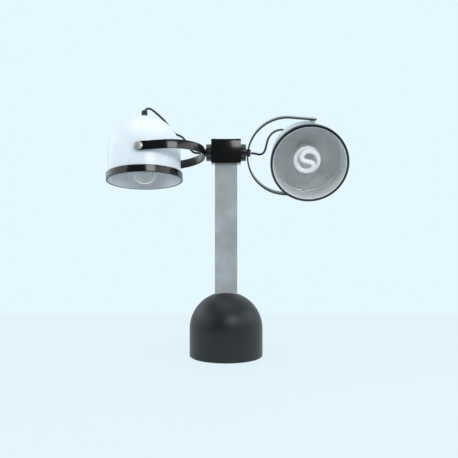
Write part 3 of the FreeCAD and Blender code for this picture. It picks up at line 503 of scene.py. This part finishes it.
HEAD_TILT = {"left": math.radians(-2.6), "right": 0.0}
STRAP_BEND, STRAP_BEND_AT, STRAP_PIVOT = 66.75, 69.95, 106.2
STRAP_WIDTH, STRAP_THICK, STRAP_EASE, LEAST_HALF = 15.0, 2.5, 0.55, 0.02 ** 0.5
NUT_BORE, NUT_RADIUS, NUT_BACK, NUT_FRONT = 5.05, 6.6, 4.45, 7.45
FERRULE_BORE, FERRULE_TUBE, FERRULE_RADIUS, FERRULE_BACK, FERRULE_FRONT = 2.1, 2.8, 5.2, 6.0, 9.05
ARC_STEPS, ARM_STEPS, END_STEPS, EDGE_STEPS = 72, 4, 14, 4
TO_X = Matrix.Rotation(math.radians(90), 4, "Y")
joints = {joint["name"]: joint for joint in frame["joints"]}
yoke_places, head_places = {}, {}
for side in ("left", "right"):
    swivel, tilt = joints["swivel_" + side], joints["tilt_" + side]
    along, across = Vector(swivel["axis"]).normalized(), Vector(tilt["axis"]).normalized()
    turn = Matrix((along, across, along.cross(across))).transposed().to_4x4()
    yoke_places[side] = Matrix.Translation(swivel["pos_m"]) @ turn
    head_places[side] = Matrix.Translation(tilt["pos_m"]) @ turn @ Matrix.Rotation(HEAD_TILT[side], 4, "Y")


def bent_strap(name, place):
    """The strap as one band along its U, its half width falling to nothing round each pivot."""
    half = STRAP_WIDTH / 2
    stations = []
    for n in range(END_STEPS):
        past = half * math.cos(math.pi / 2 * n / END_STEPS)
        width = math.sqrt(max(half ** 2 - past ** 2, LEAST_HALF ** 2))
        stations.append((Vector((STRAP_PIVOT + past, STRAP_BEND)), Vector((0, 1)), width))
    for n in range(ARM_STEPS):
        along = STRAP_PIVOT + (STRAP_BEND_AT - STRAP_PIVOT) * n / ARM_STEPS
        stations.append((Vector((along, STRAP_BEND)), Vector((0, 1)), half))
    for n in range(ARC_STEPS // 2 + 1):
        angle = math.pi / 2 + math.pi / 2 * n / (ARC_STEPS // 2)
        out = Vector((math.cos(angle), math.sin(angle)))
        stations.append((Vector((STRAP_BEND_AT, 0)) + out * STRAP_BEND, out, half))
    stations += [(Vector((spot.x, -spot.y)), Vector((out.x, -out.y)), width)
                 for spot, out, width in reversed(stations[:-1])]
    shape = bmesh.new()
    wrap = shape.loops.layers.uv.new("along")
    rows, run = [], [0.0]
    for n, (spot, out, width) in enumerate(stations):
        ease = min(STRAP_EASE, width)
        row = []
        for quarter in range(4):
            for step in range(EDGE_STEPS + 1):
                angle = math.pi / 2 * (quarter + step / EDGE_STEPS)
                through = math.copysign(STRAP_THICK / 2 - ease, math.cos(math.pi / 2 * (quarter + 0.5)))
                over = math.copysign(width - ease, math.sin(math.pi / 2 * (quarter + 0.5)))
                flat = spot + out * (through + ease * math.cos(angle))
                row.append(shape.verts.new((flat.x * MM, flat.y * MM, (over + ease * math.sin(angle)) * MM)))
        rows.append(row)
        if n:
            run.append(run[-1] + (spot - stations[n - 1][0]).length * MM)
    count = len(rows[0])
    for n in range(len(rows) - 1):
        for k in range(count):
            face = shape.faces.new((rows[n][k], rows[n][(k + 1) % count], rows[n + 1][(k + 1) % count],
                                    rows[n + 1][k]))
            for loop, spot in zip(face.loops, ((n, k), (n, k + 1), (n + 1, k + 1), (n + 1, k))):
                loop[wrap].uv = (run[spot[0]], spot[1] / count * STRAP_WIDTH * MM)
    shape.faces.new(rows[0])
    shape.faces.new(list(reversed(rows[-1])))
    bmesh.ops.recalc_face_normals(shape, faces=shape.faces)
    data = bpy.data.meshes.new(name)
    shape.to_mesh(data)
    shape.free()
    data.transform(place)
    return bpy.data.objects.new(name, data)


nickel = finish("nickel", (0.72, 0.72, 0.7), 0.2, metallic=1, grain=1500)
for side in ("left", "right"):
    place = yoke_places[side]
    mount(bent_strap("bent_strap_" + side, place), "yoke_" + side, "black_gloss", "strap_" + side,
          materials=[gloss_black])
    nut_line = rounded((NUT_BORE, NUT_BACK, 0), (NUT_RADIUS, NUT_BACK, 0.3), (NUT_RADIUS, NUT_FRONT, 0.6),
                       (NUT_BORE, NUT_FRONT, 0.2))
    mount(turned("strap_nut_" + side, nut_line, place @ TO_X), "yoke_" + side, "black_gloss", "hub_nut_" + side,
          materials=[gloss_black])
    ferrule_line = rounded((FERRULE_BORE, FERRULE_BACK, 0), (FERRULE_TUBE, FERRULE_BACK, 0),
                           (FERRULE_TUBE, NUT_FRONT, 0), (FERRULE_RADIUS, NUT_FRONT, 0.2),
                           (FERRULE_RADIUS, FERRULE_FRONT, 0.9), (FERRULE_BORE, FERRULE_FRONT, 0.5))
    mount(turned("flex_ferrule_" + side, ferrule_line, place @ TO_X), "yoke_" + side, "nickel", "ferrule_" + side,
          materials=[nickel])
    own("stud_" + side, gloss_black)
    own("swivel_nut_" + side, zinc)


# Shades
# Each dome is spun from aluminium, stove-enamelled white outside and over its edge, and satin silver
# inside. A bead runs round the inside where the bowl meets the straight wall.

SHADE_RADIUS, SHADE_INSIDE, BOWL_INSIDE, EQUATOR, MOUTH, NIPPLE_HOLE = 61.7, 60.5, 59.8, 9.5, -42.0, 3.9
BEAD_LOW, BEAD_HIGH, BOWL_STEPS = 1.4, 1.1, 40
enamel = finish("enamel", (0.74, 0.83, 0.90), 0.3, grain=260, depth=0.004, drift=0.015, coat=0.2)
silver = finish("satin_silver", (0.86, 0.88, 0.89), 0.42, metallic=0.5, grain=1800, depth=0.006, drift=0.08,
                stretch=(0.02, 1, 1), along_uv=True)
outside = rounded(*bow(SHADE_RADIUS, EQUATOR, math.degrees(math.acos(NIPPLE_HOLE / SHADE_RADIUS)), 0, BOWL_STEPS),
                  (SHADE_RADIUS, MOUTH, 0.3), (SHADE_INSIDE, MOUTH, 0.3))
inside = rounded((SHADE_INSIDE, EQUATOR - BEAD_LOW, 0), (BOWL_INSIDE, EQUATOR - BEAD_HIGH, 0),
                 *bow(BOWL_INSIDE, EQUATOR, 0, math.degrees(math.acos(NIPPLE_HOLE / BOWL_INSIDE)), BOWL_STEPS))
for side in ("left", "right"):
    shade = turned("spun_shade_" + side, outside + inside, head_places[side],
                   second=(len(outside) - 1, len(outside) + len(inside) - 1))
    mount(shade, "shade_" + side, "white_enamel", "shade_" + side, materials=[enamel, silver])


# Mouth rings
# A steel ring in black gloss is pressed over the mouth of each shade. Its front lip turns in over the
# enamelled edge and leaves a thin white line round the opening.

RING_OUTSIDE, RING_BACK, RING_FRONT, RING_LIP = 65.2, -30.3, -42.5, 61.15
RING_BORE, RING_SEAT = SHADE_RADIUS + 0.1, MOUTH - 0.05
ring_line = rounded((RING_BORE, RING_BACK, 0.2), (RING_OUTSIDE, RING_BACK, 0.8), (RING_OUTSIDE, RING_FRONT, 0.8),
                    (RING_LIP, RING_FRONT, 0.4), (RING_LIP, RING_SEAT, 0), (RING_BORE, RING_SEAT, 0))
for side in ("left", "right"):
    mount(turned("mouth_ring_" + side, ring_line, head_places[side]), "shade_" + side, "black_gloss", "rim_" + side,
          materials=[gloss_black])


# Glands
# A moulded black gland screws onto the shade's nipple and closes on the flex. Ten ribs round it give the
# fingers a grip, and its mouth widens so that the flex can lean.

GLAND_BOTTOM, GLAND_TOP, BARREL, GLAND_THROAT, GLAND_MOUTH, THROAT_RISE = 70.6, 82.7, 4.6, 2.1, 4.1, 74.7
gland_plastic = finish("gland_plastic", (0.022, 0.024, 0.026), 0.42, grain=1400, depth=0.02)
barrel_line = rounded((GLAND_THROAT, GLAND_BOTTOM, 0), (BARREL, GLAND_BOTTOM, 0.2), (BARREL, GLAND_TOP, 0.4),
                      (GLAND_MOUTH, GLAND_TOP, 0.1), (GLAND_THROAT, THROAT_RISE, 0))
rib_sizes = {"Circle": 4.25 * MM, "Rib radius": 0.9 * MM, "Rib length": 10.4 * MM}
for side in ("left", "right"):
    barrel = turned("gland_barrel_" + side, barrel_line, head_places[side], turns=48)
    mount(barrel, "shade_" + side, "black_plastic", "gland_" + side, materials=[gland_plastic])
    tree, size = sized_tree("gland_ribs", rib_sizes)
    rib = add(tree, "GeometryNodeMeshCylinder", {"Vertices": 14, "Side Segments": 1, "Radius": size["Rib radius"],
                                                 "Depth": size["Rib length"]})
    tip = add(tree, "GeometryNodeMeshUVSphere", {"Segments": 14, "Rings": 8, "Radius": size["Rib radius"]})
    rounded_rib = add(tree, "GeometryNodeJoinGeometry", {"Geometry": [
        rib.outputs["Mesh"], raised(tree, tip.outputs["Mesh"], times(tree, size["Rib length"], 0.5)),
        raised(tree, tip.outputs["Mesh"], times(tree, size["Rib length"], -0.5))]})
    circle = add(tree, "GeometryNodeMeshCircle", {"Vertices": 10, "Radius": size["Circle"]})
    ribs = add(tree, "GeometryNodeInstanceOnPoints", {"Points": circle.outputs["Mesh"],
                                                      "Instance": rounded_rib.outputs["Geometry"]})
    grips = grown("gland_ribs_" + side, tree, ribs.outputs["Instances"], gland_plastic, rib_sizes)
    grips.data.transform(head_places[side] @ Matrix.Translation((0, 0, (GLAND_BOTTOM + GLAND_TOP) / 2 * MM)))
    mount(grips, "shade_" + side, "black_plastic")


# Tilt pivots
# A screw with a wide domed cap goes through each strap end, an aluminium spacer and the shade's wall. A thin
# nut, as silver as the shade's inside, holds it there. Caps and spacers are satin silver.

CAP_RADIUS, CAP_SEAT, CAP_TOP, PIVOT_RADIUS, PIVOT_END = 6.6, 68.1, 70.5, 3.0, 57.6
cap_silver = finish("cap_silver", (0.62, 0.64, 0.63), 0.42, metallic=0.85, grain=1500, drift=0.08)
nut_silver = finish("nut_silver", (0.86, 0.88, 0.89), 0.42, metallic=0.5, grain=1500, drift=0.08)
cap_line = rounded((0, CAP_TOP, 0), (2.6, CAP_TOP - 0.05, 0), (4.6, CAP_TOP - 0.3, 0), (5.9, CAP_TOP - 0.7, 0),
                   (CAP_RADIUS, CAP_TOP - 1.3, 0.3), (CAP_RADIUS, CAP_SEAT, 0.2), (PIVOT_RADIUS, CAP_SEAT, 0),
                   (PIVOT_RADIUS, PIVOT_END, 0.4), (0, PIVOT_END, 0))
for side in ("left", "right"):
    caps = bmesh.new()
    for facing in (-90, 90):
        one = turned("cap", cap_line, head_places[side] @ Matrix.Rotation(math.radians(facing), 4, "X"), ring=False,
                     turns=64)
        caps.from_mesh(one.data)
        bpy.data.objects.remove(one)
    cap_mesh = bpy.data.meshes.new("pivot_caps_" + side)
    caps.to_mesh(cap_mesh)
    caps.free()
    mount(bpy.data.objects.new("pivot_caps_" + side, cap_mesh), "shade_" + side, "cap_silver",
          "pivot_screws_" + side, materials=[cap_silver])
    own("pivot_spacers_" + side, cap_silver)
    own("pivot_nuts_" + side, nut_silver)


# Lamp holders
# Porcelain holders hang inside the domes on threaded nipples, each with a brass contact at its bottom. The
# bulbs' brass screw caps stand in them.

brass = finish("brass", (0.72, 0.6, 0.32), 0.3, metallic=1, grain=900)
for side in ("left", "right"):
    own("holder_" + side, porcelain)
    own("nipple_" + side, zinc)
    own("nipple_nut_" + side, zinc)
    own("contact_" + side, brass)
own("bulb_globe_cap", brass)
own("bulb_spiral_cap", brass)


# Globe bulb
# A clear blown globe on a brass screw cap. A glass stem inside carries two wires and the coiled filament
# between them.

GLOBE_RADIUS, GLOBE_WALL, GLOBE_RISE, GLOBE_STEPS = 22.5, 0.8, -24.6, 36
NECK_RADIUS, NECK_START, NECK_END, NECK_TOP = 6.4, -6.0, 9.0, 12.0
glass = finish("bulb_glass", (0.96, 0.97, 0.97), 0.015, drift=0.01, depth=0.0005)
glass.node_tree.nodes["Principled BSDF"].inputs["Transmission Weight"].default_value = 1
glass.node_tree.nodes["Principled BSDF"].inputs["IOR"].default_value = 1.45
neck_angle = math.degrees(math.asin((NECK_START - GLOBE_RISE) / GLOBE_RADIUS))
outer_globe = rounded(*bow(GLOBE_RADIUS, GLOBE_RISE, -90, neck_angle, GLOBE_STEPS), (NECK_RADIUS, NECK_END, 0),
                      (NECK_RADIUS, NECK_TOP, 0))
inner_globe = rounded((NECK_RADIUS - GLOBE_WALL, NECK_TOP, 0), (NECK_RADIUS - GLOBE_WALL, NECK_END, 0),
                      *bow(GLOBE_RADIUS - GLOBE_WALL, GLOBE_RISE, neck_angle, -90, GLOBE_STEPS))
globe = turned("blown_globe", outer_globe + inner_globe, head_places["left"], ring=False)
mount(globe, "shade_left", "clear_glass", "bulb_globe", materials=[glass])
stem_line = rounded((0, -7.2, 0), (1.2, -7.0, 0), (1.6, -6.2, 0), (1.6, 0, 0), (2.4, 6, 0), (5.3, 10.6, 0),
                    (5.3, 11, 0), (0, 11, 0))
stem = turned("glass_stem", stem_line, head_places["left"], ring=False, turns=48)
mount(stem, "shade_left", "clear_glass", "bulb_mount", materials=[glass])

WIRE_SIDES, FILAMENT_TURNS, FILAMENT_STEPS = 8, 26, 10
WIRE_RADIUS, FILAMENT_RADIUS = 0.28, 0.16
FILAMENT_BOW, FILAMENT_COIL, FILAMENT_RISE, FILAMENT_SAG = 8.0, 0.55, -24.0, 0.6
FILAMENT_SPREAD = 200


def drawn(name, points, radius, sides, material, place):
    """A round wire or tube along points in mm of the head's own frame."""
    sizes = {"Wire radius": radius * MM}
    line = bpy.data.meshes.new(name)
    spots = [tuple(v * MM for v in point) for point in points]
    line.from_pydata(spots, [(n, n + 1) for n in range(len(points) - 1)], [])
    tree, size = sized_tree(name + "_tree", sizes)
    tree.interface.new_socket("Line", in_out="INPUT", socket_type="NodeSocketGeometry")
    tree.interface.move(tree.interface.items_tree["Line"], 0)
    source = tree.nodes.new("NodeGroupInput")
    curve = add(tree, "GeometryNodeMeshToCurve", {"Mesh": source.outputs["Line"]})
    ring = add(tree, "GeometryNodeCurvePrimitiveCircle",
               {"Resolution": sides, "Radius": source.outputs["Wire radius"]})
    tube = add(tree, "GeometryNodeCurveToMesh", {"Curve": curve.outputs["Curve"],
                                                 "Profile Curve": ring.outputs["Curve"], "Fill Caps": True})
    made = grown(name, tree, tube.outputs["Mesh"], material, sizes, base=line)
    made.data.transform(place)
    return made


filament = []
for n in range(FILAMENT_TURNS * FILAMENT_STEPS + 1):
    share = n / (FILAMENT_TURNS * FILAMENT_STEPS)
    bend = math.radians(FILAMENT_SPREAD * share - FILAMENT_SPREAD / 2)
    turn = 2 * math.pi * FILAMENT_TURNS * share
    reach = FILAMENT_BOW + FILAMENT_COIL * math.cos(turn)
    filament.append((reach * math.sin(bend), FILAMENT_COIL * math.sin(turn),
                     FILAMENT_RISE - FILAMENT_SAG * reach * math.cos(bend)))
support_left = [(-0.9, 0, -6), (-1.4, 0, -10), (-4.5, 0, -17), filament[0]]
support_right = [(0.9, 0, -6), (1.4, 0, -10), (4.5, 0, -17), filament[-1]]
wires = [drawn("filament", filament, FILAMENT_RADIUS, WIRE_SIDES, nickel, head_places["left"])]
for tag, points in (("a", support_left), ("b", support_right)):
    wires.append(drawn("lead_in_" + tag, points, WIRE_RADIUS, WIRE_SIDES, nickel, head_places["left"]))
for piece in wires:
    mount(piece, "shade_left", "nickel")


# Spiral bulb
# One white-coated glass tube winds out from a bridge over the front and back into a glossy white plastic
# ballast housing, which narrows to the brass screw cap.

COIL_RADIUS, COIL_PITCH, COIL_FRONT, COIL_SHIFT, TUBE_RADIUS = 20.0, 19.0, -28.0, 2.5, 4.3
BRIDGE_SOFTNESS, BRIDGE_HEADING = 1.6, math.radians(5)
COIL_REACH = math.radians(270) + BRIDGE_SOFTNESS
SOCKET_CIRCLE, LEG_LEAN, LEG_PULL, SOCKET_TOP = 13.5, 9.0, 1.2, 2.0
COIL_STEPS, LEG_STEPS, TUBE_SIDES = 220, 26, 32
BALLAST_RADIUS, BALLAST_FACE, BALLAST_STEP, BALLAST_END, BALLAST_NECK = 22.0, -4.0, 2.5, 9.0, 9.9


def coil_spot(step):
    """A point of the tube's middle line, which winds outward from the bridge both ways."""
    reach = math.hypot(step, BRIDGE_SOFTNESS)
    turned_by = reach - BRIDGE_SOFTNESS
    angle = turned_by + BRIDGE_HEADING
    radius = COIL_RADIUS * step / reach
    return Vector((radius * math.cos(angle) - COIL_SHIFT, radius * math.sin(angle),
                   COIL_FRONT + COIL_PITCH * turned_by / (2 * math.pi)))


def leg(sign):
    """The tube's end, easing from the winding into a straight leg that stands in its socket."""
    last = coil_spot(sign * COIL_REACH)
    onward = (last - coil_spot(sign * (COIL_REACH - 0.01))).normalized()
    flat = Vector((last.x, last.y, 0)).normalized() * SOCKET_CIRCLE + Vector((onward.x, onward.y, 0)) * LEG_LEAN
    foot = Vector((flat.x, flat.y, SOCKET_TOP - 2 * TUBE_RADIUS))
    pull = (foot - last).length * LEG_PULL
    points = []
    for n in range(1, LEG_STEPS + 1):
        t = n / LEG_STEPS
        points.append(last * (2 * t ** 3 - 3 * t ** 2 + 1) + onward * pull * (t ** 3 - 2 * t ** 2 + t)
                      + foot * (3 * t ** 2 - 2 * t ** 3) + Vector((0, 0, pull)) * (t ** 3 - t ** 2))
    return points + [Vector((flat.x, flat.y, SOCKET_TOP - TUBE_RADIUS)), Vector((flat.x, flat.y, SOCKET_TOP))]


winding = [coil_spot(COIL_REACH * n / COIL_STEPS) for n in range(-COIL_STEPS, COIL_STEPS + 1)]
coil_points = list(reversed(leg(-1))) + winding + leg(1)
lamp_white = finish("lamp_white", (0.82, 0.86, 0.88), 0.22, drift=0.02, depth=0.003, coat=0.4)
tube = drawn("spiral_tube", coil_points, TUBE_RADIUS, TUBE_SIDES, lamp_white, head_places["right"])
mount(tube, "shade_right", "lamp_white", "bulb_spiral")
housing_white = finish("housing_white", (0.72, 0.72, 0.70), 0.3, drift=0.02, grain=600, depth=0.01)
housing_line = rounded((0, BALLAST_FACE, 0), (BALLAST_RADIUS, BALLAST_FACE, 1.4), (BALLAST_RADIUS, BALLAST_STEP, 1.0),
                       (BALLAST_NECK, BALLAST_END, 0.6), (0, BALLAST_END, 0))
mount(turned("ballast_housing", housing_line, head_places["right"], ring=False), "shade_right", "ballast_white",
      "bulb_ballast", materials=[housing_white])


# Table top, backdrop and light
# A pale table in a bright studio. Two long soft boxes stand beside the lamp, a small one stands in front and to
# the right, and one hangs over it. The table ends short of the camera, and the side behind that is dark.

FLOOR_BACK, FLOOR_FRONT, FLOOR_REACH = 0.516, -0.62, 3.0
FLOOR_PALE, SHOWN_SHARE = (0.80, 0.945, 1.0), 0.85
SOFT_BOXES = {  # place, aim, width, height, power
    "box_left": ((-1.25, 0.05, 0.72), (0, 0, 0.3), 2.3, 0.6, 4.5),
    "box_right": ((1.2, -0.35, 0.72), (0, 0, 0.3), 1.8, 0.6, 4.5),
    "box_front": ((0.5, -1.28, 0.95), (0, 0, 0.3), 0.7, 0.5, 6.5),
    "box_top": ((0, -0.1, 1.6), (0, 0, 0.2), 1.4, 1.1, 4.5),
}
BACKDROP, FILL, FILL_LEVEL = (0.784, 0.939, 1.0), (0.94, 0.975, 1.0), 0.72
DARK_FROM, BRIGHT_FROM, DARK_LEVEL, BRIGHT_LEVEL = -0.75, 0.35, 0.03, 0.9


def any_of(tree, *kinds):
    """1 for a ray of any of these kinds, and 0 for the others."""
    rays = add(tree, "ShaderNodeLightPath").outputs
    found = rays[kinds[0]]
    for kind in kinds[1:]:
        either = add(tree, "ShaderNodeMath", operation="MAXIMUM")
        tree.links.new(found, either.inputs[0])
        tree.links.new(rays[kind], either.inputs[1])
        found = either.outputs[0]
    return found


def mixed(tree, share, one, other):
    """The one shader, or the other where the share is 1."""
    mix = add(tree, "ShaderNodeMixShader", {"Fac": share})
    tree.links.new(one, mix.inputs[1])
    tree.links.new(other, mix.inputs[2])
    return mix.outputs[0]


floor_mesh = bpy.data.meshes.new("floor")
floor_mesh.from_pydata([(-FLOOR_REACH, FLOOR_FRONT, 0), (FLOOR_REACH, FLOOR_FRONT, 0),
                        (FLOOR_REACH, FLOOR_BACK, 0), (-FLOOR_REACH, FLOOR_BACK, 0)], [], [(0, 1, 2, 3)])
floor = bpy.data.objects.new("floor", floor_mesh)
table_white = finish("table_white", (0.56, 0.64, 0.69), 0.6, drift=0.01)
floor.data.materials.append(table_white)
collection.objects.link(floor)
table = table_white.node_tree
pale = add(table, "ShaderNodeEmission", {"Color": (*FLOOR_PALE, 1)})
seen = times(table, any_of(table, "Is Camera Ray", "Is Glossy Ray", "Is Transmission Ray"), SHOWN_SHARE)
table.links.new(mixed(table, seen, table.nodes["Principled BSDF"].outputs[0], pale.outputs[0]),
                table.nodes["Material Output"].inputs["Surface"])

for name, (place, aim, width, height, power) in SOFT_BOXES.items():
    lamp = bpy.data.lights.new(name, "AREA")
    lamp.shape = "RECTANGLE"
    lamp.size, lamp.size_y = width, height
    lamp.energy = power
    box = bpy.data.objects.new(name, lamp)
    box.location = place
    box.rotation_euler = (Vector(aim) - Vector(place)).to_track_quat("-Z", "Y").to_euler()
    collection.objects.link(box)

world = bpy.data.worlds.new("studio")
bpy.context.scene.world = world
world.use_nodes = True
sky = world.node_tree
fill = sky.nodes["Background"]
fill.inputs["Color"].default_value = (*FILL, 1)
fill.inputs["Strength"].default_value = FILL_LEVEL
backdrop = add(sky, "ShaderNodeBackground", {"Color": (*BACKDROP, 1)})
direction = add(sky, "ShaderNodeTexCoord")
parts = add(sky, "ShaderNodeSeparateXYZ", {"Vector": direction.outputs["Generated"]})
away = add(sky, "ShaderNodeMapRange", {"Value": parts.outputs["Y"], "From Min": DARK_FROM, "From Max": BRIGHT_FROM,
                                       "To Min": DARK_LEVEL, "To Max": BRIGHT_LEVEL})
mirrored = add(sky, "ShaderNodeBackground", {"Color": (*BACKDROP, 1), "Strength": away.outputs["Result"]})
unseen = mixed(sky, any_of(sky, "Is Glossy Ray"), fill.outputs[0], mirrored.outputs[0])
sky.links.new(mixed(sky, any_of(sky, "Is Camera Ray", "Is Transmission Ray"), unseen, backdrop.outputs[0]),
              sky.nodes["World Output"].inputs["Surface"])
bpy.context.scene.view_settings.view_transform = "Standard"
